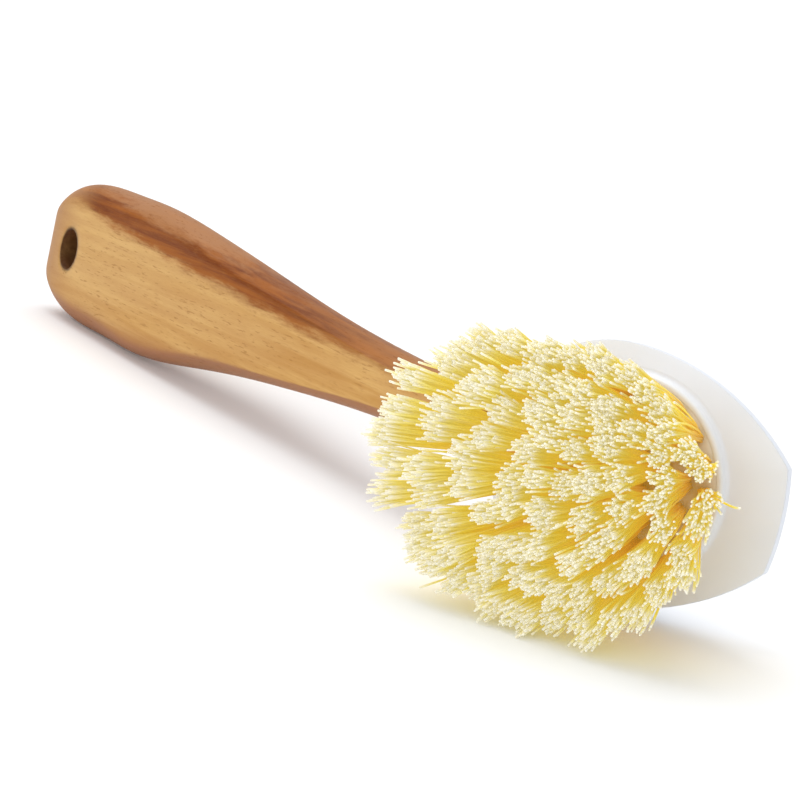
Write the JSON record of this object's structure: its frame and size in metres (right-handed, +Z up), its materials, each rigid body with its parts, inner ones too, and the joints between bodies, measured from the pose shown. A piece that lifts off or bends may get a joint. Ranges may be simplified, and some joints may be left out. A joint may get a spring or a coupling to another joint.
{
  "type": "dish brush",
  "caption": "Dish brush: a flat-fronted oval wooden handle with a hanging hole and a white pull-off scraper head of splayed bristle tufts.",
  "frame": {"origin": "centre of the bounding box's bottom: on the table that the brush lies on, midway along and across it", "axes": "+X along the handle's shadow on the table, towards the head; +Z up from the table; the bristles point mostly along -Y, a little up"},
  "size_m": [0.2783, 0.06, 0.0525],
  "materials": {
    "handle_wood": "satin, lightly oiled hardwood with fine dark pores",
    "liner_plastic": "moulded, satin",
    "head_plastic": "moulded, soft gloss",
    "bristle_nylon": "translucent cream-yellow filament",
    "staple_wire": "flat drawn wire"
  },
  "bodies": {
    "handle": {"handle": "handle_wood", "neck_liner": "liner_plastic"},
    "head": {"head": "head_plastic", "bristle_ring_1": "bristle_nylon", "bristle_ring_2": "bristle_nylon", "bristle_ring_3": "bristle_nylon", "bristle_ring_4": "bristle_nylon", "bristle_ring_5": "bristle_nylon", "staple_ring_1": "staple_wire", "staple_ring_2": "staple_wire", "staple_ring_3": "staple_wire", "staple_ring_4": "staple_wire", "staple_ring_5": "staple_wire"}
  },
  "joints": [
    {"name": "head_pull", "type": "slide", "parent": "handle", "child": "head", "axis": [0.9994, 0, 0.0338], "range_m": [0, 0.03]}
  ]
}
